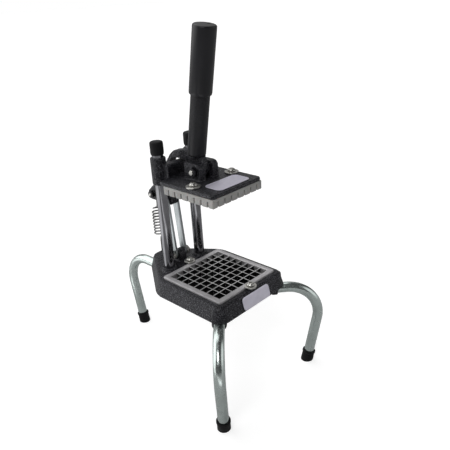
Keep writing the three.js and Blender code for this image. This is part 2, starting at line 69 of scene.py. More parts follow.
MM = 0.001
knife_low, knife_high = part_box("knife_frame")
ORIGIN = Vector(((knife_low.x + knife_high.x) / 2, (knife_low.y + knife_high.y) / 2, knife_high.z))
TO_FRAME = Matrix.Translation(ORIGIN) @ Matrix.Scale(MM, 4)
BODY = {node: body for body, nodes in frame["record"]["behaviour"]["bodies"].items() for node in nodes}
SLOT = {part["node"]: part["material_slot"] for part in frame["record"]["subparts"]}

FLOOR = -ORIGIN.z / MM
GAP = 0.3  # between pieces that touch

# ---------------------------------------------------------------- driving dimensions
CELLS = 8
PITCH = 10
KNIFE = {"half": 46.4, "opening": 40, "deep": 12, "corner": 3}
KNIFE_SCREW_Y = 49.4
BED = {"half": 51, "front": -51.5, "rear": 52, "bottom": -16, "opening": 42}
DECK = -2
SKIRT = -20
FLARE = 5
WALL = 5
DECK_THICK = 6
DECK_CORNERS = [(53, -53, 9), (53, 46, 26), (11, 106.5, 9)]
COLUMN = {"x": 24.9, "y": 58.3, "radius": 6.35, "foot": -12, "top": 150}
STUD = {"radius": 4, "bottom": -25}
BOSS = {"radius": 9.6, "top": 1.5, "bottom": -16}
COLUMN_NUT = {"across": 13, "tall": 6.5}
CAP = {"radius": 7.6, "bottom": 141, "top": 156}
LEG = {"radius": 6.2, "height": -25.6, "bend": 38.8, "turn": 101.2, "splay": 42, "start": -16}
FRONT_BEND = Vector((58, -54.3, LEG["height"]))
REAR_BEND = Vector((0, 136.4, LEG["height"]))
SOCKET = {"radius": 8.4, "front_in": -18, "front_out": -11, "rear_in": 82, "rear_out": 110.5, "web": 5}
REAR_START = SOCKET["rear_in"] + 2  # bottom of the hole that the rear leg sits in
POST = {"radius": 7.5, "x": 48, "y": -45}
FOOT = {"radius": 8.1, "height": 16}
BASE_LABEL = {"half": 22, "half_tall": 7.6, "corner": 4, "centre": (1, -56.1, -11.4)}
SLEEVE = {"radius": 8.8, "bottom": 107, "top": 138}
PLATE = {"half": 38.2, "rear": 46, "bottom": 112, "top": 116}
CROSSBAR = {"front": 43, "rear": 54.5, "top": 131}
EAR = {"inner": 5.3, "outer": 14, "front": 3, "rear": 28.5, "top": 134.5}
HEAD_LABEL = {"left": -23, "right": 25, "front": -34, "rear": -10, "corner": 5}
BLOCK = {"half": 37.8, "top": 111.7, "hole": 109.2, "under": 108.6, "tip": 102, "root": 4.3, "end": 4.1}
HEAD_SCREW = (29.5, -1.5)
SCREW = {"radius": 2.3, "hole": 2.7, "knife_hole": 3, "head": 4.4, "tall": 3}
PIVOT = (12.5, 126)
LINK_FOOT = (67.5, 6.5)
LINK_TOP = (73.8, 78)
SPRING_TOP = (101.5, 79)
SPRING_FOOT = (102, -11)
LINK = {"inner": 5.8, "outer": 8.8, "half": 4.6}
LUG = {"front": 60, "rear": 75, "top_front": 61.5, "top_rear": 73.5, "top": 12.4}
LEVER_HALF = 4.9
LEVER_PIN_HALF = 5.3
BORE = 3.3
SHANK = 3
TUBE = {"radius": 10.25, "start": (21.9, 138), "lean": 11.1, "seat": 3, "length": 133}
STUB = {"radius": 7, "start": 2, "end": 22}  # on the lever, inside the handle tube
GRIP = {"radius": 12.3, "from": 70, "to": 138.4}
# Radii of wire and coil, number of turns, and the heights that the turns lie between. Those up to
# tight above low keep their shape as the spring stretches.
SPRING = {"wire": 0.9, "coil": 6.9, "turns": 8.5, "low": 22.5, "high": 57, "tight": 10}
HOOK = 3.4
SPRING_PIN = 2
SPRING_PIN_HALF = 9
SPRING_SLIT = {"half": 2, "front": 96.5, "rear": 104.5}

X = Vector((1, 0, 0))
Y = Vector((0, 1, 0))
Z = Vector((0, 0, 1))


# ---------------------------------------------------------------- solids
class Solid:
    """A closed mesh in millimetres, with the joins, cuts and edge work that shape it."""

    def __init__(self, bm):
        bmesh.ops.recalc_face_normals(bm, faces=bm.faces)
        mesh = bpy.data.meshes.new("solid")
        bm.to_mesh(mesh)
        bm.free()
        self.object = bpy.data.objects.new("solid", mesh)
        bpy.context.scene.collection.objects.link(self.object)

    def modified(self, kind, **settings):
        modifier = self.object.modifiers.new(kind.lower(), kind)
        for name, value in settings.items():
            setattr(modifier, name, value)
        evaluated = self.object.evaluated_get(bpy.context.evaluated_depsgraph_get())
        mesh = bpy.data.meshes.new_from_object(evaluated)
        self.object.modifiers.clear()
        self.object.data = mesh
        return self

    def combined(self, operation, others):
        for other in others:
            self.modified("BOOLEAN", operation=operation, solver="MANIFOLD", object=other.object)
            bpy.data.objects.remove(other.object)
        return self

    def join(self, *others):
        return self.combined("UNION", others)

    def cut(self, *others):
        return self.combined("DIFFERENCE", others)

    def bevel(self, width, segments=3, angle=30):
        return self.modified("BEVEL", width=width, segments=segments, limit_method="ANGLE",
                             angle_limit=math.radians(angle), harden_normals=False)

    def cast(self, voxel, rounds):
        """Runs all edges and inner corners soft, as on a sand casting."""
        self.modified("REMESH", mode="VOXEL", voxel_size=voxel)
        return self.modified("SMOOTH", factor=0.5, iterations=rounds)

    def moved(self, matrix):
        self.object.data.transform(matrix)
        if matrix.determinant() < 0:
            self.object.data.flip_normals()
        return self

    def copy(self):
        bm = bmesh.new()
        bm.from_mesh(self.object.data)
        return Solid(bm)

    def mirrored(self):
        return self.copy().moved(Matrix.Scale(-1, 4, X))


def rectangle(u0, u1, v0, v1, radius):
    """Outline corners (u, v, radius) of a rectangle, for filleted."""
    return [(u0, v0, radius), (u1, v0, radius), (u1, v1, radius), (u0, v1, radius)]


def square(half, radius):
    return rectangle(-half, half, -half, half, radius)


def filleted(corners, steps=8):
    """Closed outline with each corner (u, v, radius) rounded by an arc."""
    points = []
    for i, (u, v, radius) in enumerate(corners):
        if radius == 0:
            points.append((u, v))
            continue
        u0, v0, _ = corners[i - 1]
        u1, v1, _ = corners[(i + 1) % len(corners)]
        into = math.atan2(v - v0, u - u0)
        out = math.atan2(v1 - v, u1 - u)
        turn = math.remainder(out - into, math.tau)
        side = math.copysign(1, turn)
        back = radius * math.tan(abs(turn) / 2)
        cu = u - math.cos(into) * back - math.sin(into) * radius * side
        cv = v - math.sin(into) * back + math.cos(into) * radius * side
        for k in range(steps + 1):
            angle = into + turn * k / steps
            points.append((cu + radius * side * math.sin(angle), cv - radius * side * math.cos(angle)))
    return points


def grown(corners, grow):
    """The same outline moved outwards by grow, its corners turned about the same centres."""
    lines = []
    for i, (u, v, _) in enumerate(corners):
        u1, v1, _ = corners[(i + 1) % len(corners)]
        length = math.hypot(u1 - u, v1 - v)
        normal = ((v1 - v) / length, (u - u1) / length)
        lines.append((normal, normal[0] * u + normal[1] * v + grow))
    result = []
    for i, (_, _, radius) in enumerate(corners):
        (a, p), (b, q) = lines[i - 1], lines[i]
        scale = a[0] * b[1] - a[1] * b[0]
        result.append(((p * b[1] - q * a[1]) / scale, (q * a[0] - p * b[0]) / scale, max(radius + grow, 0.2)))
    return result


def ringed(rings, closed=False):
    """Solid through rings of points; a ring of one point is a tip, and closed joins last to first."""
    bm = bmesh.new()
    made = [[bm.verts.new(point) for point in ring] for ring in rings]
    pairs = list(zip(made, made[1:]))
    if closed:
        pairs.append((made[-1], made[0]))
    for a, b in pairs:
        count = max(len(a), len(b))
        for i in range(count):
            j = (i + 1) % count
            corners = [a[i % len(a)], a[j % len(a)], b[j % len(b)], b[i % len(b)]]
            unique = list(dict.fromkeys(corners))
            if len(unique) > 2:
                bm.faces.new(unique)
    if not closed:
        for end in (made[0], made[-1]):
            if len(end) > 2:
                bm.faces.new(end)
    return Solid(bm)


def turned(corners, base=(0, 0, 0), direction=Z, sides=64, steps=6):
    """Round solid; corners are (radius, distance along the axis, corner radius) of half its section."""
    rotation = Z.rotation_difference(Vector(direction)).to_matrix()
    rings = []
    for radius, along in filleted(corners, steps):
        angles = [math.tau * i / sides for i in range(sides)] if radius > 1e-6 else [0]
        rings.append([
            Vector(base) + rotation @ Vector((radius * math.cos(a), radius * math.sin(a), along))
            for a in angles
        ])
    return ringed(rings, closed=corners[0][0] > 1e-6)


def rod(radius, start, end, base=(0, 0, 0), direction=Z, edge=0.0, sides=48):
    return turned([(0, start, 0), (radius, start, edge), (radius, end, edge), (0, end, 0)],
                  base, direction, sides)


def ring(inner, outer, start, end, base=(0, 0, 0), direction=Z, edge=0.3, sides=48):
    return turned([(inner, start, edge), (outer, start, edge), (outer, end, edge), (inner, end, edge)],
                  base, direction, sides)


def side_bore(radius, centre, reach=20):
    """Cutter for a hole from side to side, with its centre at y, z."""
    return rod(radius, -reach, reach, (0, *centre), X)


AXES = {
    "x": Matrix(((0, 0, 1), (1, 0, 0), (0, 1, 0))),
    "y": Matrix(((0, 1, 0), (0, 0, 1), (1, 0, 0))),
    "z": Matrix.Identity(3),
}


def prism(outline, start, end, axis="z"):
    """Outline pulled along an axis. Along x the outline is y, z; along y it is z, x."""
    turn = AXES[axis]
    return ringed([[turn @ Vector((u, v, w)) for u, v in outline] for w in (start, end)])


def block(x0, x1, y0, y1, z0, z1):
    return prism([(x0, y0), (x1, y0), (x1, y1), (x0, y1)], z0, z1)


def flared(corners, levels, steps=10):
    """Solid through one outline that spreads by a different amount at each height."""
    return ringed([
        [(u, v, z) for u, v in filleted(grown(corners, grow), steps)] for grow, z in levels
    ])


def circle(centre, across, other, radius, sides):
    return [
        centre + (across * math.cos(a) + other * math.sin(a)) * radius
        for a in (math.tau * k / sides for k in range(sides))
    ]


def swept(points, radius, sides=32, end=0.6):
    """Round bar along a line of points, with its end edges rounded off."""
    points = [Vector(p) for p in points]
    tangents = [(b - a).normalized() for a, b in zip(points, points[1:])]
    tangents = [tangents[0]] + [(a + b).normalized() for a, b in zip(tangents, tangents[1:])] + [tangents[-1]]
    across = tangents[0].orthogonal().normalized()
    rings = []
    first_end = [(radius - end, 0), (radius - end * 0.3, end * 0.3), (radius, end)]
    last_end = [(reach, -shift) for reach, shift in reversed(first_end)]
    last = len(points) - 1
    for i, (point, tangent) in enumerate(zip(points, tangents)):
        across = (across - tangent * across.dot(tangent)).normalized()
        other = tangent.cross(across)
        steps = {0: first_end, last: last_end}.get(i, [(radius, 0)])
        rings += [circle(point + tangent * shift, across, other, reach, sides) for reach, shift in steps]
    return ringed(rings)


def thread(radius, start, end, base, direction=Z, pitch=1.0, sides=32):
    """Threaded length of a bolt, with one turn of thread to each pitch and a bevelled end."""
    rotation = Z.rotation_difference(Vector(direction)).to_matrix()
    rows = max(2, round((end - start) / pitch * 6))
    rings = []
    for row in range(rows + 1):
        along = start + (end - start) * row / rows
        taper = max(0, 0.8 - (end - along)) + max(0, 0.4 - (along - start))
        ring_points = []
        for i in range(sides):
            share = (along / pitch - i / sides) % 1
            depth = 0.28 * pitch * 2 * abs(share - 0.5)
            reach = radius - max(depth, taper * 0.7)
            angle = math.tau * i / sides
            ring_points.append(
                Vector(base) + rotation @ Vector((reach * math.cos(angle), reach * math.sin(angle), along)))
        rings.append(ring_points)
    return ringed(rings)


def hexagon(across):
    return [(across / math.sqrt(3) * math.cos(math.tau * i / 6),
             across / math.sqrt(3) * math.sin(math.tau * i / 6)) for i in range(6)]


def hexed(across, start, end, base, direction=Z, hole=0.0):
    """Hexagon head or nut, its corners taken off by a cone at both faces."""
    rotation = Z.rotation_difference(Vector(direction)).to_matrix().to_4x4()
    body = prism(hexagon(across), start, end)
    reach = across / math.sqrt(3) + 0.05
    flat = across / 2 * 0.97
    slope = (reach - flat) * 0.55
    body.combined("INTERSECT", [turned([
        (0, start, 0), (flat, start, 0), (reach, start + slope, 0),
        (reach, end - slope, 0), (flat, end, 0), (0, end, 0)])])
    if hole:
        body.cut(rod(hole, start - 1, end + 1))
        rim = 0.5
        body.cut(turned([(0, end - rim, 0), (hole, end - rim, 0), (hole + rim, end + 0.01, 0),
                         (0, end + 0.01, 0)]))
    return body.bevel(0.15, 2, 25).moved(Matrix.Translation(base) @ rotation)


def cross_head(x, y, under, head, tall):
    """Pan head with a cross recess, head upwards."""
    top = under + tall
    body = turned([(0, under, 0), (head, under, 0.3), (head, under + tall * 0.45, 1.1),
                   (head * 0.7, top - 0.25, 1.2), (0, top, 0)], (x, y, 0))
    arm = head * 0.52
    for long, short in ((arm, 0.5), (0.5, arm)):
        body.cut(block(x - long, x + long, y - short, y + short, top - 1.7, top + 1))
    return body.cut(turned([(0, top - 2.1, 0), (0.4, top - 2.1, 0), (1.3, top + 0.2, 0), (0, top + 0.2, 0)],
                           (x, y, 0), sides=24))


# ---------------------------------------------------------------- materials
class Shader:
    """One node material around a Principled BSDF, with texture in the piece's own metres."""

    def __init__(self, name, **fixed):
        self.material = bpy.data.materials.new(name)
        self.material.use_nodes = True
        self.tree = self.material.node_tree
        self.surface = self.tree.nodes["Principled BSDF"]
        for socket, value in fixed.items():
            self.surface.inputs[socket.replace("_", " ")].default_value = value
        self.place = self.tree.nodes.new("ShaderNodeTexCoord").outputs["Object"]

    def node(self, kind, inputs=(), output=0, **settings):
        made = self.tree.nodes.new(kind)
        for name, value in settings.items():
            setattr(made, name, value)
        for socket, value in dict(inputs).items():
            if isinstance(value, bpy.types.NodeSocket):
                self.tree.links.new(value, made.inputs[socket])
            else:
                made.inputs[socket].default_value = value
        return made.outputs[output]

    def stretched(self, scale):
        return self.node("ShaderNodeMapping", {"Vector": self.place, "Scale": scale})

    def noise(self, scale, detail=3.0, stretch=(1, 1, 1), rough=0.5):
        return self.node("ShaderNodeTexNoise", {
            "Vector": self.stretched(stretch), "Scale": scale, "Detail": detail, "Roughness": rough})

    def cells(self, scale, smooth=0.6):
        return self.node("ShaderNodeTexVoronoi", {
            "Vector": self.place, "Scale": scale, "Smoothness": smooth}, feature="SMOOTH_F1")

    def ramp(self, factor, *stops):
        made = self.tree.nodes.new("ShaderNodeValToRGB")
        elements = made.color_ramp.elements
        for element, (position, shade) in zip(elements, (stops[0], stops[-1])):
            element.position = position
            element.color = colour(shade)
        for position, shade in stops[1:-1]:
            elements.new(position).color = colour(shade)
        self.tree.links.new(factor, made.inputs["Fac"])
        return made.outputs["Color"]

    def mix(self, factor, a, b, blend="MIX"):
        made = self.tree.nodes.new("ShaderNodeMix")
        made.data_type = "RGBA"
        made.blend_type = blend
        for index, value in ((0, factor), (6, a), (7, b)):
            if isinstance(value, bpy.types.NodeSocket):
                self.tree.links.new(value, made.inputs[index])
            else:
                made.inputs[index].default_value = value if index == 0 else colour(value)
        return made.outputs[2]

    def maths(self, operation, a, b):
        made = self.tree.nodes.new("ShaderNodeMath")
        made.operation = operation
        for index, value in enumerate((a, b)):
            if isinstance(value, bpy.types.NodeSocket):
                self.tree.links.new(value, made.inputs[index])
            else:
                made.inputs[index].default_value = value
        return made.outputs[0]

    def edges(self, start, end):
        """1 on outer edges and 0 elsewhere."""
        pointed = self.node("ShaderNodeNewGeometry", output="Pointiness")
        return self.ramp(pointed, (start, 0.0), (end, 1.0))

    def bump(self, height, depth, strength=1.0, under=None):
        inputs = {"Height": height, "Distance": depth, "Strength": strength}
        if under:
            inputs["Normal"] = under
        return self.node("ShaderNodeBump", inputs)

    def finish(self, **driven):
        for socket, value in driven.items():
            self.tree.links.new(value, self.surface.inputs[socket.replace("_", " ")])
        return self.material


def colour(value):
    return (value, value, value, 1) if isinstance(value, (int, float)) else (*value, 1)


def hammertone():
    """Charcoal hammer paint: small dimples, a metallic speckle and edges rubbed a little lighter."""
    s = Shader("hammertone", Metallic=0.35, Coat_Weight=0.12, Coat_Roughness=0.25, Specular_IOR_Level=0.3)
    dimples = s.cells(520)
    speckle = s.noise(900, 2.0)
    clouds = s.noise(30, 3.0)
    base = s.ramp(speckle, (0.36, (0.004, 0.004, 0.006)), (0.52, (0.015, 0.015, 0.020)),
                  (0.68, (0.125, 0.125, 0.14)))
    shaded = s.mix(0.5, base, s.ramp(clouds, (0.3, 0.35), (0.7, 1.0)), "MULTIPLY")
    worn = s.mix(s.maths("MULTIPLY", s.edges(0.53, 0.6), 0.35), shaded, (0.09, 0.09, 0.095))
    normal = s.bump(speckle, 0.0003, 0.7, s.bump(dimples, 0.0008, 0.8))
    return s.finish(Base_Color=worn, Roughness=s.ramp(clouds, (0.3, 0.36), (0.7, 0.5)), Normal=normal)


def black_paint():
    """Black powder coat with fine orange peel."""
    s = Shader("black_paint", Coat_Weight=0.05, Coat_Roughness=0.4, Specular_IOR_Level=0.28)
    peel = s.noise(900, 3.0)
    clouds = s.noise(45, 2.0)
    base = s.ramp(peel, (0.35, (0.005, 0.005, 0.007)), (0.7, (0.016, 0.016, 0.019)))
    worn = s.mix(s.maths("MULTIPLY", s.edges(0.54, 0.62), 0.4), base, (0.08, 0.08, 0.085))
    return s.finish(Base_Color=worn, Roughness=s.ramp(clouds, (0.3, 0.36), (0.7, 0.5)),
                    Normal=s.bump(peel, 0.0003, 0.6))


def plated(name, shade, dark, rough, stretch=(1, 1, 1), grain=260, depth=0.00004):
    """Zinc-plated steel: faint clouds, drawing marks along the metal and small dull spots."""
    s = Shader(name, Metallic=1.0)
    marks = s.noise(grain, 4.0, stretch)
    clouds = s.noise(60, 3.0)
    spots = s.noise(420, 1.0)
    base = s.mix(s.ramp(clouds, (0.35, 0.0), (0.7, 0.7)), shade, dark)
    dulled = s.mix(s.ramp(spots, (0.68, 0.0), (0.74, 0.5)), base, dark)
    lines = s.ramp(marks, (0.3, rough * 0.75), (0.7, rough * 1.35))
    return s.finish(Base_Color=dulled, Roughness=lines, Normal=s.bump(marks, depth, 0.5))


def blade_steel():
    """Thin blades: top edges bright as ground steel, faces below them dark with painted shade between blades.
    """
    s = Shader("blade_steel", Metallic=0.9)
    height = s.node("ShaderNodeSeparateXYZ", {"Vector": s.place}, "Z")
    # 1 on the top edge and 0 on the faces below it, which carry a painted shade
    top_above_painted_shade = s.node("ShaderNodeMapRange", {
        "Value": height, "From Min": ORIGIN.z - 0.75 * MM, "From Max": ORIGIN.z - 0.42 * MM}, "Result")
    marks = s.noise(300, 4.0, (0.1, 0.1, 1))
    bright = s.ramp(marks, (0.3, 0.70), (0.7, 0.88))
    # painted shade on the blade faces between the cells
    dark = s.ramp(marks, (0.3, 0.012), (0.75, 0.05))
    return s.finish(Base_Color=s.mix(top_above_painted_shade, dark, bright), Roughness=s.ramp(marks, (0.3, 0.28), (0.7, 0.42)),
                    Normal=s.bump(marks, 0.00004, 0.5))


def cast_aluminium():
    """Machined light alloy with a dull, slightly cloudy skin."""
    s = Shader("cast_aluminium", Metallic=0.75)
    clouds = s.noise(70, 4.0)
    milled = s.noise(500, 3.0, (1, 0.12, 1))
    base = s.ramp(clouds, (0.3, (0.47, 0.46, 0.47)), (0.7, (0.61, 0.60, 0.61)))
    return s.finish(Base_Color=base, Roughness=s.ramp(milled, (0.3, 0.42), (0.7, 0.6)),
                    Normal=s.bump(milled, 0.00006, 0.6))


def rubber():
    """Moulded rubber, matt, with dust in its pores."""
    s = Shader("rubber", Sheen_Weight=0.04, Sheen_Roughness=0.5, Specular_IOR_Level=0.18)
    pores = s.noise(1100, 3.0)
    dust = s.noise(90, 4.0)
    base = s.mix(s.ramp(dust, (0.45, 0.0), (0.8, 0.35)), (0.005, 0.005, 0.006), (0.022, 0.0215, 0.021))
    return s.finish(Base_Color=base, Roughness=s.ramp(dust, (0.3, 0.5), (0.7, 0.72)),
                    Normal=s.bump(pores, 0.00015, 0.5))


def grip_vinyl():
    """Dipped vinyl: soft shine, very slight waves and a fine skin."""
    s = Shader("grip_vinyl", Coat_Weight=0.3, Coat_Roughness=0.18, Specular_IOR_Level=0.2)
    waves = s.noise(40, 2.0)
    skin = s.noise(1300, 2.0)
    base = s.ramp(waves, (0.3, (0.006, 0.006, 0.008)), (0.7, (0.011, 0.011, 0.014)))
    normal = s.bump(skin, 0.00008, 0.5, s.bump(waves, 0.0012, 0.25))
    return s.finish(Base_Color=base, Roughness=s.ramp(skin, (0.3, 0.34), (0.7, 0.46)), Normal=normal)


def pusher_plastic():
    """Light warm-grey moulded plastic with flow clouds."""
    s = Shader("pusher_plastic", Subsurface_Weight=0.05, Subsurface_Scale=0.002)
    clouds = s.noise(55, 4.0)
    skin = s.noise(800, 3.0)
    base = s.ramp(clouds, (0.3, (0.29, 0.285, 0.275)), (0.7, (0.38, 0.375, 0.365)))
    return s.finish(Base_Color=base, Roughness=s.ramp(skin, (0.3, 0.42), (0.7, 0.58)),
                    Normal=s.bump(skin, 0.0001, 0.5))


def label_foil():
    """Brushed aluminium foil label, faintly lilac."""
    s = Shader("label_foil", Metallic=0.55)
    brushed = s.noise(700, 4.0, (0.06, 1, 1))
    clouds = s.noise(110, 3.0)
    base = s.mix(s.ramp(clouds, (0.35, 0.0), (0.7, 0.6)), (0.72, 0.70, 0.80), (0.60, 0.585, 0.68))
    return s.finish(Base_Color=base, Roughness=s.ramp(brushed, (0.3, 0.28), (0.7, 0.46)),
                    Normal=s.bump(brushed, 0.00004, 0.5))


MATERIALS = {
    "hammertone": hammertone(),
    "black_paint": black_paint(),
    "zinc": plated("zinc", (0.62, 0.61, 0.58), (0.36, 0.36, 0.34), 0.3),
    "leg_zinc": plated("leg_zinc", (0.64, 0.71, 0.69), (0.52, 0.58, 0.56), 0.22),
    "dark_steel": plated("dark_steel", (0.06, 0.06, 0.065), (0.03, 0.03, 0.033), 0.35),
    "link_zinc": plated("link_zinc", (0.42, 0.45, 0.46), (0.30, 0.33, 0.33), 0.32, (1, 1, 0.08)),
    "spring_steel": plated("spring_steel", (0.26, 0.26, 0.26), (0.12, 0.12, 0.12), 0.3),
    "bright_steel": plated("bright_steel", (0.26, 0.26, 0.275), (0.15, 0.15, 0.16), 0.1, (1, 1, 0.02), 190,
                           0.0006),
    "cast_aluminium": cast_aluminium(),
    "blade_steel": blade_steel(),
    "rubber": rubber(),
    "grip_vinyl": grip_vinyl(),
    "pusher_plastic": pusher_plastic(),
    "label_foil": label_foil(),
}


def dress(obj, node, sharp=35):
    obj.data.materials.clear()
    obj.data.materials.append(MATERIALS[SLOT[node]])
    obj.data.shade_smooth()
    obj.data.set_sharp_from_angle(angle=math.radians(sharp))


def place(node, solid, sharp=35):
    """Puts a solid in the frame in place of a CAD node, on that node's body."""
    obj = solid.object
    obj.name = node + "_shape"
    obj.data.transform(TO_FRAME)
    dress(obj, node, sharp)
    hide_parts(node)
    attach(obj, BODY[node])
    return obj


def place_pair(name, solid, sharp=35):
    place(f"{name}_left", solid.mirrored(), sharp)
    place(f"{name}_right", solid, sharp)


# ---------------------------------------------------------------- base casting
LEFT_CORNERS = [(-x, y, r) for x, y, r in reversed(DECK_CORNERS)]
OUTLINE = DECK_CORNERS + LEFT_CORNERS
splay = math.radians(LEG["splay"])
FRONT_WAY = Vector((math.cos(splay), -math.sin(splay), 0))


def along(start, way, a, b):
    return [start + way * a, start + way * b]


def base_casting():
    body = flared(OUTLINE, [
        (FLARE, SKIRT), (FLARE - 0.4, SKIRT + 2), (0.9, DECK - 3.2), (0, DECK - 1.2), (-1.4, DECK)])
    body.cut(flared(OUTLINE, [(FLARE + 1 - WALL, SKIRT - 5), (1 - WALL, DECK - DECK_THICK)]))
    boss = turned([(0, BOSS["bottom"], 0), (BOSS["radius"] + 1.5, BOSS["bottom"], 1),
                   (BOSS["radius"], BOSS["top"], 1), (0, BOSS["top"], 0)], (COLUMN["x"], COLUMN["y"], 0))
    post = rod(POST["radius"], LEG["height"], DECK - 3, (POST["x"], POST["y"], 0))
    socket = swept(along(FRONT_BEND, FRONT_WAY, SOCKET["front_in"], SOCKET["front_out"]), SOCKET["radius"])
    lug = prism(filleted([
        (LUG["front"], DECK - 3, 0.5), (LUG["rear"], DECK - 3, 0.5),
        (LUG["top_rear"], LUG["top"], 5.9), (LUG["top_front"], LUG["top"], 5.9)]),
        GAP - LINK["inner"], LINK["inner"] - GAP, "x")
    web = block(-SOCKET["web"], SOCKET["web"], SOCKET["rear_in"] + 1, 95, LEG["height"] + 8, DECK - 3)
    body.join(
        block(-BED["half"], BED["half"], BED["front"], BED["rear"], BED["bottom"], DECK - 2),
        boss.mirrored(), boss, post.mirrored(), post, socket.mirrored(), socket,
        rod(SOCKET["radius"], SOCKET["rear_in"], SOCKET["rear_out"], (0, 0, LEG["height"]), Y),
        web, lug,
    )
    body.cast(0.9, 5)
    opening = BED["opening"]
    bore = turned([(0, -30, 0), (STUD["radius"] + GAP, -30, 0),
                   (STUD["radius"] + GAP, COLUMN["foot"] - GAP, 0),
                   (COLUMN["radius"] + GAP, COLUMN["foot"] - GAP, 0),
                   (COLUMN["radius"] + GAP, 10, 0), (0, 10, 0)], (COLUMN["x"], COLUMN["y"], 0))
    leg_bore = rod(LEG["radius"] + GAP, LEG["start"] - GAP, 20, FRONT_BEND, FRONT_WAY)
    slit = SPRING_SLIT
    body.cut(
        prism(filleted(square(KNIFE["half"] + GAP, KNIFE["corner"])), -KNIFE["deep"] - GAP, 5),
        block(-opening, opening, -opening, opening, -30, 5),
        bore.mirrored(), bore, leg_bore.mirrored(), leg_bore,
        rod(LEG["radius"] + GAP, REAR_START, 140, (0, 0, LEG["height"]), Y),
        side_bore(BORE, LINK_FOOT, 10),
        prism(filleted(rectangle(-slit["half"], slit["half"], slit["front"], slit["rear"], 1.9)), -15, 5),
        block(-10.5, 10.5, slit["front"], slit["rear"] + 2, -16.5, DECK - DECK_THICK + 0.5),
        *[rod(SCREW["knife_hole"], -30, 5, (0, y, 0)) for y in (-KNIFE_SCREW_Y, KNIFE_SCREW_Y)],
    )
    place("base_casting", body, 50)


base_casting()


# ---------------------------------------------------------------- knife
def knife():
    rings = []
    for half, radius, z in (
            (KNIFE["half"], KNIFE["corner"], -KNIFE["deep"]), (KNIFE["half"], KNIFE["corner"], 0),
            (KNIFE["opening"], 0.6, 0), (KNIFE["opening"], 0.6, -KNIFE["deep"])):
        rings.append([(u, v, z) for u, v in filleted(square(half, radius), 5)])
    place("knife_frame", ringed(rings, closed=True).bevel(0.35, 3, 40))
    for way in ("across", "lengthways"):
        for i in range(1, CELLS):
            node = f"blade_{way}_{i}"
            blade = frame["nodes"][node]
            dress(blade, node)
            edge = blade.modifiers.new("edge", "BEVEL")
            edge.width = 0.15 * MM
            edge.segments = 2
            edge.limit_method = "ANGLE"
    for end, y in (("front", -KNIFE_SCREW_Y), ("rear", KNIFE_SCREW_Y)):
        screw("knife", end, 0, y, face=0, bottom=-14, washer=7)


def screw(name, end, x, y, face, bottom, washer):
    """Cross-head screw on a washer of the given radius, standing on a face."""
    place(f"{name}_washer_{end}", ring(SCREW["hole"], washer, face + GAP, face + 1.8, (x, y, 0)))
    head = cross_head(x, y, face + 2.2, SCREW["head"], SCREW["tall"])
    head.join(thread(SCREW["radius"], bottom, face + 2.5, (x, y, 0), pitch=0.8))
    place(f"{name}_screw_{end}", head)


knife()


# ---------------------------------------------------------------- columns
def columns():
    centre = (COLUMN["x"], COLUMN["y"], 0)
    shaft = turned([(0, COLUMN["foot"], 0), (COLUMN["radius"], COLUMN["foot"], 0.5),
                    (COLUMN["radius"], COLUMN["top"], 1), (0, COLUMN["top"], 0)], centre, sides=80)
    shaft.join(thread(STUD["radius"], -COLUMN["foot"] - 1, -STUD["bottom"], centre, -Z, pitch=1.25))
    place_pair("column", shaft)
    nut_base = (COLUMN["x"], COLUMN["y"], BOSS["bottom"] - GAP)
    nut = hexed(COLUMN_NUT["across"], 0, COLUMN_NUT["tall"], nut_base, -Z, STUD["radius"] + GAP)
    place_pair("column_nut", nut)
    inner = COLUMN["radius"] + GAP
    cap = turned([
        (0, CAP["top"], 0), (0, COLUMN["top"] + GAP, 0), (inner, COLUMN["top"] + GAP, 0.5),
        (inner, CAP["bottom"], 0.3), (CAP["radius"] - 0.3, CAP["bottom"], 0.5),
        (CAP["radius"], CAP["bottom"] + 3, 2), (CAP["radius"] - 0.1, CAP["top"], 2.2)],
        centre, sides=80)
    place_pair("column_cap", cap)


columns()


# ---------------------------------------------------------------- legs and feet
LEG_END = FLOOR + 3


def leg_line(bend, way, start):
    """Centre line of a leg: level, then round the bend, then straight down."""
    turn = math.radians(LEG["turn"])
    points = [bend + way * (start * (1 - k / 4)) for k in range(4)]
    for k in range(49):
        angle = turn * k / 48
        points.append(bend + way * (LEG["bend"] * math.sin(angle))
                      - Z * (LEG["bend"] * (1 - math.cos(angle))))
    down = way * math.cos(turn) - Z * math.sin(turn)
    length = (points[-1].z - LEG_END) / math.sin(turn)
    points += [points[-1] + down * (length * k / 8) for k in range(1, 9)]
    return points, down


def foot(end, down):
    """Rubber cup pushed on the end of a leg, worn flat where it stands."""
    inner = LEG["radius"] + GAP
    radius = FOOT["radius"]
    top = 5 - FOOT["height"]
    cup = turned([
        (0, 8, 0), (0, GAP, 0), (inner, GAP, 0.5), (inner, top, 0.4), (radius - 0.1, top, 0.8),
        (radius, top + 2.6, 0.6), (radius - 0.7, top + 3.2, 0.6), (radius - 0.4, 8, 0)],
        end, down, 64)
    return cup.cut(block(-300, 300, -300, 300, FLOOR - 40, FLOOR)).bevel(0.3, 2, 50)


def legs():
    line, down = leg_line(FRONT_BEND, FRONT_WAY, LEG["start"])
    place_pair("leg_front", swept(line, LEG["radius"], 40))
    place_pair("foot_front", foot(line[-1], down))
    line, down = leg_line(REAR_BEND, Y, REAR_START + GAP - REAR_BEND.y)
    place("leg_rear", swept(line, LEG["radius"], 40))
    place("foot_rear", foot(line[-1], down))


legs()


# ---------------------------------------------------------------- name plates
def name_plate(x0, x1, y0, y1, radius):
    """Blank plate with a raised rim, lying in the x-y plane from z = GAP."""
    corners = rectangle(x0, x1, y0, y1, radius)
    field = grown(corners, -1.2)
    plate = prism(filleted(corners), GAP, GAP + 0.8).bevel(0.2, 2)
    return plate.cut(prism(filleted(field), GAP + 0.6, 3))


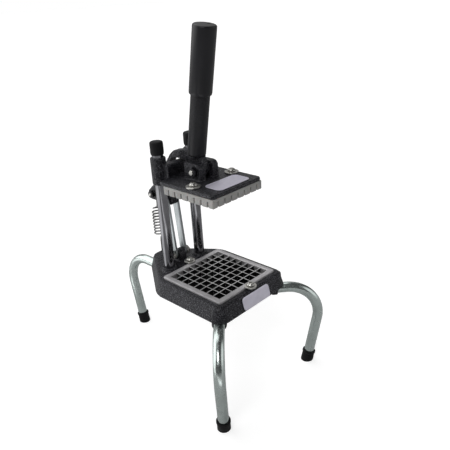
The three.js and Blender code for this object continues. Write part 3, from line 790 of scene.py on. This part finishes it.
def name_plates():
    slope = math.atan2(FLARE - 1, -SKIRT + DECK - 4)
    tilt = Matrix.Rotation(math.pi / 2 - slope, 4, "X")
    half, tall = BASE_LABEL["half"], BASE_LABEL["half_tall"]
    base_plate = name_plate(-half, half, -tall, tall, BASE_LABEL["corner"])
    place("base_name_plate", base_plate.moved(Matrix.Translation(BASE_LABEL["centre"]) @ tilt))
    head_plate = name_plate(HEAD_LABEL["left"], HEAD_LABEL["right"], HEAD_LABEL["front"], HEAD_LABEL["rear"],
                            HEAD_LABEL["corner"])
    place("head_name_plate", head_plate.moved(Matrix.Translation((0, 0, PLATE["top"]))))


name_plates()


# ---------------------------------------------------------------- pusher head
def head():
    centre = (COLUMN["x"], COLUMN["y"], 0)
    sleeve = turned([(0, SLEEVE["bottom"], 0), (SLEEVE["radius"], SLEEVE["bottom"], 0.8),
                     (SLEEVE["radius"], SLEEVE["top"], 1.4), (0, SLEEVE["top"], 0)], centre)
    ear = prism(filleted([
        (EAR["front"], PLATE["top"] - 2, 0.5), (EAR["rear"], PLATE["top"] - 2, 0.5),
        (EAR["rear"], EAR["top"], 3), (EAR["front"], EAR["top"], 6)]), EAR["inner"], EAR["outer"], "x")
    half = PLATE["half"]
    body = flared(rectangle(-half, half, -half, PLATE["rear"], 5),
                  [(0, PLATE["bottom"]), (0, PLATE["top"] - 1), (-1, PLATE["top"])])
    body.join(
        prism(filleted([
            (CROSSBAR["front"], PLATE["bottom"], 0.5), (CROSSBAR["rear"], PLATE["bottom"], 0.5),
            (CROSSBAR["rear"], CROSSBAR["top"], 3), (CROSSBAR["front"], CROSSBAR["top"], 3)]),
            -COLUMN["x"], COLUMN["x"], "x"),
        sleeve.mirrored(), sleeve, ear.mirrored(), ear)
    body.cast(0.7, 3)
    bore = rod(COLUMN["radius"] + GAP, 90, 150, centre)
    hole = rod(SCREW["hole"], 90, 120, (*HEAD_SCREW, 0))
    body.cut(bore.mirrored(), bore, side_bore(BORE, PIVOT), hole.mirrored(), hole)
    place("pusher_head", body, 50)


def pusher_block():
    """Plate with one rounded square pin for each cell of the knife."""
    half = BLOCK["half"]
    body = block(-half, half, -half, half, BLOCK["under"], BLOCK["top"]).bevel(0.5, 3)
    centres = [(i + 0.5 - CELLS / 2) * PITCH for i in range(CELLS)]

    def pad(x, y, reach, z):
        sides = [(max(c - reach, -half), min(c + reach, half)) for c in (x, y)]
        (x0, x1), (y0, y1) = sides
        return [(x0, y0, z), (x1, y0, z), (x1, y1, z), (x0, y1, z)]

    for x in centres:
        body.join(*[
            ringed([pad(x, y, BLOCK["end"], BLOCK["tip"]), pad(x, y, BLOCK["root"], BLOCK["under"] + 0.8)])
            .bevel(0.7, 3) for y in centres
        ])
    hole = rod(SCREW["hole"], BLOCK["hole"], 120, (*HEAD_SCREW, 0))
    place("pusher_block", body.cut(hole.mirrored(), hole))


head()
pusher_block()
for side, x in (("left", -HEAD_SCREW[0]), ("right", HEAD_SCREW[0])):
    screw("head", side, x, HEAD_SCREW[1], face=PLATE["top"], bottom=BLOCK["hole"] + GAP, washer=8)


# ---------------------------------------------------------------- bolts across the machine
def cross_bolt(name, centre, shank, across, grip, head, nut, end, hand=1):
    """Hex bolt and nut across the machine; hand 1 has the head on the left.

    It holds what lies between -grip and grip, and head, nut and end are how far out each of these goes.
    """
    way = X * hand
    base = (0, *centre)
    inside = grip + GAP
    bolt = hexed(across, inside, head, base, -way)
    bolt.join(rod(shank, -inside - 0.5, inside, base, way),
              thread(shank, inside - 0.5, end, base, way, 0.8))
    place(f"{name}_bolt", bolt)
    place(f"{name}_nut", hexed(across, inside, nut, base, way, shank + GAP))


cross_bolt("pivot", PIVOT, SHANK, across=10, grip=EAR["outer"], head=18, nut=18.4, end=19.4, hand=-1)
cross_bolt("tail", SPRING_TOP, SPRING_PIN, across=8, grip=LEVER_HALF, head=8.2, nut=8.8, end=10, hand=-1)
cross_bolt("link", LINK_FOOT, SHANK, across=10, grip=LINK["outer"], head=12.8, nut=13.8, end=14.6)


# ---------------------------------------------------------------- lever
HANDLE_BASE = Vector((0, *TUBE["start"]))
HANDLE_WAY = Matrix.Rotation(math.radians(TUBE["lean"]), 3, "X") @ Z
LEVER_OUTLINE = [
    (3.8, 117.3, 8.6), (20.5, 117.3, 6), (29, 133.5, 6), (58, 133.5, 5), (64.5, 124, 6), (64.5, 71.5, 6),
    (109.5, 71.5, 7.4), (109.5, 82, 6), (91, 98, 25), (61.5, 136, 8), (54.5, 141.5, 8), (28, 146.5, 3),
    (11, 137, 3),
]
POCKET_OUTLINE = [(69, 90, 3), (85, 90, 5), (85.5, 98, 5), (69, 119.5, 4)]
SPRING_SLOT = [(77, 60), (120, 60), (120, 90), (92, 90), (92, 78), (77, 73.5)]


def on_handle(corners, sides=80):
    return turned(corners, HANDLE_BASE, HANDLE_WAY, sides)


def lever():
    radius = TUBE["radius"]
    body = prism(filleted(LEVER_OUTLINE), -LEVER_HALF, LEVER_HALF, "x")
    seat = TUBE["seat"]
    body.cut(on_handle([(0, seat, 0), (radius + GAP, seat, 0), (radius + GAP, 30, 0), (0, 30, 0)]))
    body.join(on_handle([
        (0, 0.6, 0), (radius - 2.5, 0.6, 0.6), (radius, 2.2, 0.4), (radius, seat, 0), (0, seat, 0)]))
    pocket = prism(filleted(POCKET_OUTLINE), 2, 10, "x")
    body.cut(pocket.mirrored(), pocket)
    body.cast(0.7, 3)
    body.join(on_handle([
        (0, STUB["start"], 0), (STUB["radius"], STUB["start"], 0), (STUB["radius"], STUB["end"], 0.5),
        (0, STUB["end"], 0)], 48))
    body.cut(
        prism(SPRING_SLOT, -1.8, 1.8, "x"),
        side_bore(BORE, PIVOT),
        side_bore(BORE, LINK_TOP),
        side_bore(SPRING_PIN + GAP, SPRING_TOP),
    )
    place("lever_arm", body, 50)


def handle():
    radius = TUBE["radius"]
    inner = STUB["radius"] + GAP
    start, length = TUBE["seat"] + GAP, TUBE["length"]
    place("handle_tube", on_handle([
        (inner, start, 0.3), (radius, start, 1.6), (radius, length, 0.5), (inner, length, 0.3)]))
    bottom, top = GRIP["from"], GRIP["to"]
    bore = radius + GAP
    grip = on_handle([
        (0, top - 0.3, 0), (0, length + GAP, 0), (bore, length + GAP, 0.3), (bore, bottom, 0.2),
        (GRIP["radius"] - 0.3, bottom, 1.0), (GRIP["radius"], bottom + 3, 4), (GRIP["radius"], top, 1.9)],
        96)
    vent = block(3.5, 7.5, -0.9, 0.9, top - 1.6, top + 2).bevel(0.5, 3)
    tilt = Matrix.Rotation(math.radians(TUBE["lean"]), 4, "X")
    grip.cut(vent.moved(Matrix.Translation(HANDLE_BASE) @ tilt))
    place("handle_grip", grip)


lever()
handle()


# ---------------------------------------------------------------- links
def links():
    (y0, z0), (y1, z1) = LINK_FOOT, LINK_TOP
    way = math.atan2(z1 - z0, y1 - y0)
    outline = []
    for (y, z), start in (((y1, z1), -math.pi / 2), ((y0, z0), math.pi / 2)):
        for k in range(25):
            angle = way + start + math.pi * k / 24
            outline.append((y + LINK["half"] * math.cos(angle), z + LINK["half"] * math.sin(angle)))
    bar = prism(outline, LINK["inner"], LINK["outer"], "x")
    bar.cut(rod(BORE, 0, 20, (0, *LINK_FOOT), X), rod(BORE, 0, 20, (0, *LINK_TOP), X)).bevel(0.3, 3, 40)
    place_pair("link", bar)
    outer = LINK["outer"]
    rivet = turned([
        (0, LINK["inner"] + 0.1, 0), (SHANK, LINK["inner"] + 0.1, 0.2), (SHANK, outer + GAP, 0),
        (5.4, outer + GAP, 0.3), (4.8, outer + 1.7, 0.8), (2.6, outer + 2.6, 1.5), (0, outer + 2.7, 0)],
        (0, *LINK_TOP), X)
    place_pair("link_rivet", rivet)
    place("lever_pin", rod(SHANK, -LEVER_PIN_HALF, LEVER_PIN_HALF, (0, *LINK_TOP), X, 0.4))
    place("spring_pin", rod(SPRING_PIN, -SPRING_PIN_HALF, SPRING_PIN_HALF, (0, *SPRING_FOOT), X, 0.4))


links()


# ---------------------------------------------------------------- return spring
def spring():
    """One wire: lower ring, coil and upper hook."""
    foot_point = Vector((0, *SPRING_FOOT))
    axis = Vector((0, *SPRING_TOP)) - foot_point
    length = axis.length
    axis.normalize()
    across = Vector((0, -axis.z, axis.y))

    def at(up, out, side):
        return foot_point + axis * up + across * out + X * side

    slack = HOOK - SPRING["wire"] - SPRING_PIN - 2 * GAP
    low, high = SPRING["low"] - SPRING_FOOT[1], SPRING["high"] - SPRING_FOOT[1]
    turn = math.tau * 0.8
    points = []
    for k in range(25):
        angle = math.pi / 2 - turn * (1 - k / 24)
        points.append(at(HOOK * math.sin(angle) - slack, HOOK * math.cos(angle), 0))
    steps = round(SPRING["turns"] * 28)
    coil = []
    for k in range(steps + 1):
        angle = math.tau * k / 28
        coil.append(at(low + (high - low) * k / steps, SPRING["coil"] * math.cos(angle),
                       SPRING["coil"] * math.sin(angle)))
    lead = [(7, 0, 0), (3, 1.5, 0), (0.9, SPRING["coil"] * 0.8, -2.5)]  # from a straight end to the turns
    points += curve([points[-1], *[at(low - up, out, side) for up, out, side in lead], coil[0]], 6)
    points += coil[1:]
    hook = []
    for k in range(25):
        angle = -math.pi / 2 + turn * k / 24
        hook.append(at(length + slack + HOOK * math.sin(angle), HOOK * math.cos(angle), 0))
    lead.reverse()
    points += curve([coil[-1], *[at(high + up, -out, side) for up, out, side in lead], hook[0]], 6)
    points += hook[1:]
    wire = swept(points, SPRING["wire"], 12, 0.15)
    obj = wire.object
    obj.name = "return_spring"
    obj.data.transform(TO_FRAME)
    dress(obj, "spring_coil")
    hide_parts("spring_coil", "spring_hook")
    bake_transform(obj)


def curve(knots, steps):
    """Points of a smooth line through knots, without the first."""
    ends = [knots[0] * 2 - knots[1], *knots, knots[-1] * 2 - knots[-2]]
    points = []
    for a, b, c, d in zip(ends, ends[1:], ends[2:], ends[3:]):
        for k in range(1, steps + 1):
            t = k / steps
            points.append(0.5 * (2 * b + (c - a) * t + (2 * a - 5 * b + 4 * c - d) * t * t
                                 + (3 * b - a - 3 * c + d) * t * t * t))
    return points


spring()


# ---------------------------------------------------------------- floor, light and camera
def stage():
    bm = bmesh.new()
    size = 30
    bm.faces.new([bm.verts.new(p) for p in (
        (-size, -size, 0), (size, -size, 0), (size, size, 0), (-size, size, 0))])
    mesh = bpy.data.meshes.new("floor")
    bm.to_mesh(mesh)
    bm.free()
    floor = bpy.data.objects.new("floor", mesh)
    bpy.context.scene.collection.objects.link(floor)
    s = Shader("floor", Roughness=0.9, Emission_Color=(0.7, 0.7, 0.7, 1))
    seen = s.node("ShaderNodeLightPath")
    floor.data.materials.append(s.finish(
        Base_Color=s.ramp(s.noise(3, 2.0), (0.3, 0.48), (0.7, 0.52)), Emission_Strength=seen))


AMBIENT = 0.1
# Direction of a soft box, where its light starts and is full (cosines), and its strength.
SOFT_BOXES = [
    ((-0.55, 0.8, 0.27), 0.74, 0.92, 2.1),
    ((0.75, -1, 0.25), 0.84, 0.94, 1.1),
    ((0.2, 0.6, 1), 0.85, 0.95, 1.8),
    ((0.65, 0.65, 0.42), 0.75, 0.95, 0.3),
]


def world():
    """Soft studio: a dim room with the soft boxes round the machine, and plain white to the camera."""
    made = bpy.data.worlds.new("studio")
    made.use_nodes = True
    bpy.context.scene.world = made
    tree = made.node_tree
    tree.nodes.clear()
    link = tree.links.new
    place_of = tree.nodes.new("ShaderNodeTexCoord").outputs["Generated"]

    def patch(direction, start, end, strength):
        dot = tree.nodes.new("ShaderNodeVectorMath")
        dot.operation = "DOT_PRODUCT"
        link(place_of, dot.inputs[0])
        dot.inputs[1].default_value = Vector(direction).normalized()
        fade = tree.nodes.new("ShaderNodeMapRange")
        fade.interpolation_type = "SMOOTHSTEP"
        link(dot.outputs["Value"], fade.inputs["Value"])
        fade.inputs["From Min"].default_value = start
        fade.inputs["From Max"].default_value = end
        fade.inputs["To Min"].default_value = 0
        fade.inputs["To Max"].default_value = strength
        return fade.outputs["Result"]

    total = None
    for direction, start, end, strength in SOFT_BOXES:
        value = patch(direction, start, end, strength)
        if total is None:
            total = value
            continue
        add = tree.nodes.new("ShaderNodeMath")
        add.operation = "ADD"
        link(total, add.inputs[0])
        link(value, add.inputs[1])
        total = add.outputs[0]
    lit = tree.nodes.new("ShaderNodeMath")
    lit.operation = "ADD"
    link(total, lit.inputs[0])
    lit.inputs[1].default_value = AMBIENT
    light = tree.nodes.new("ShaderNodeBackground")
    link(lit.outputs[0], light.inputs["Strength"])
    plain = tree.nodes.new("ShaderNodeBackground")
    plain.inputs["Color"].default_value = (1, 1, 1, 1)
    seen = tree.nodes.new("ShaderNodeLightPath").outputs["Is Camera Ray"]
    mix = tree.nodes.new("ShaderNodeMixShader")
    link(seen, mix.inputs[0])
    link(light.outputs[0], mix.inputs[1])
    link(plain.outputs[0], mix.inputs[2])
    link(mix.outputs[0], tree.nodes.new("ShaderNodeOutputWorld").inputs["Surface"])


def key_light():
    lamp = bpy.data.lights.new("key", "SUN")
    lamp.energy = 1.0
    lamp.angle = math.radians(25)
    obj = bpy.data.objects.new("key", lamp)
    obj.rotation_euler = Vector((-0.8, -0.35, 1)).to_track_quat("Z", "Y").to_euler()
    bpy.context.scene.collection.objects.link(obj)


# The bounce light's strips, in metres: front and back edge of each, and their shared right end and length.
BOUNCE_STRIPS = [(0.1, 0.8), (-0.39, -0.25)]
BOUNCE = {"right": -0.12, "length": 1.18, "height": 0.004, "radiance": 1.1}


def floor_bounce():
    """Light thrown up from the floor on the left, as from white cards lying there with gaps between."""
    length = BOUNCE["length"]
    for i, (front, back) in enumerate(BOUNCE_STRIPS):
        lamp = bpy.data.lights.new(f"bounce_{i}", "AREA")
        lamp.shape = "RECTANGLE"
        lamp.size = length
        lamp.size_y = back - front
        lamp.energy = BOUNCE["radiance"] * math.pi * length * (back - front)
        obj = bpy.data.objects.new(f"bounce_{i}", lamp)
        obj.location = (BOUNCE["right"] - length / 2, (front + back) / 2, BOUNCE["height"])
        obj.rotation_euler = (math.pi, 0, 0)
        obj.visible_camera = False
        bpy.context.scene.collection.objects.link(obj)


CAMERA = {
    "place": (-376.8, -389.8, 299.8), "azimuth": -45.18, "elevation": 23.76, "roll": -3.53, "lens": 42.12,
}


def camera():
    a, e, r = (math.radians(CAMERA[k]) for k in ("azimuth", "elevation", "roll"))
    back = Vector((math.sin(a) * math.cos(e), -math.cos(a) * math.cos(e), math.sin(e)))
    right = Z.cross(back).normalized()
    up = back.cross(right)
    turned_right = right * math.cos(r) + up * math.sin(r)
    turned_up = up * math.cos(r) - right * math.sin(r)
    data = bpy.data.cameras.new("camera")
    data.sensor_width = 36
    data.lens = CAMERA["lens"]
    obj = bpy.data.objects.new("camera", data)
    rotation = Matrix((turned_right, turned_up, back)).transposed().to_4x4()
    obj.matrix_world = Matrix.Translation(TO_FRAME @ Vector(CAMERA["place"])) @ rotation
    bpy.context.scene.collection.objects.link(obj)
    bpy.context.scene.camera = obj


stage()
world()
key_light()
floor_bounce()
camera()
bpy.context.scene.view_settings.view_transform = "Standard"
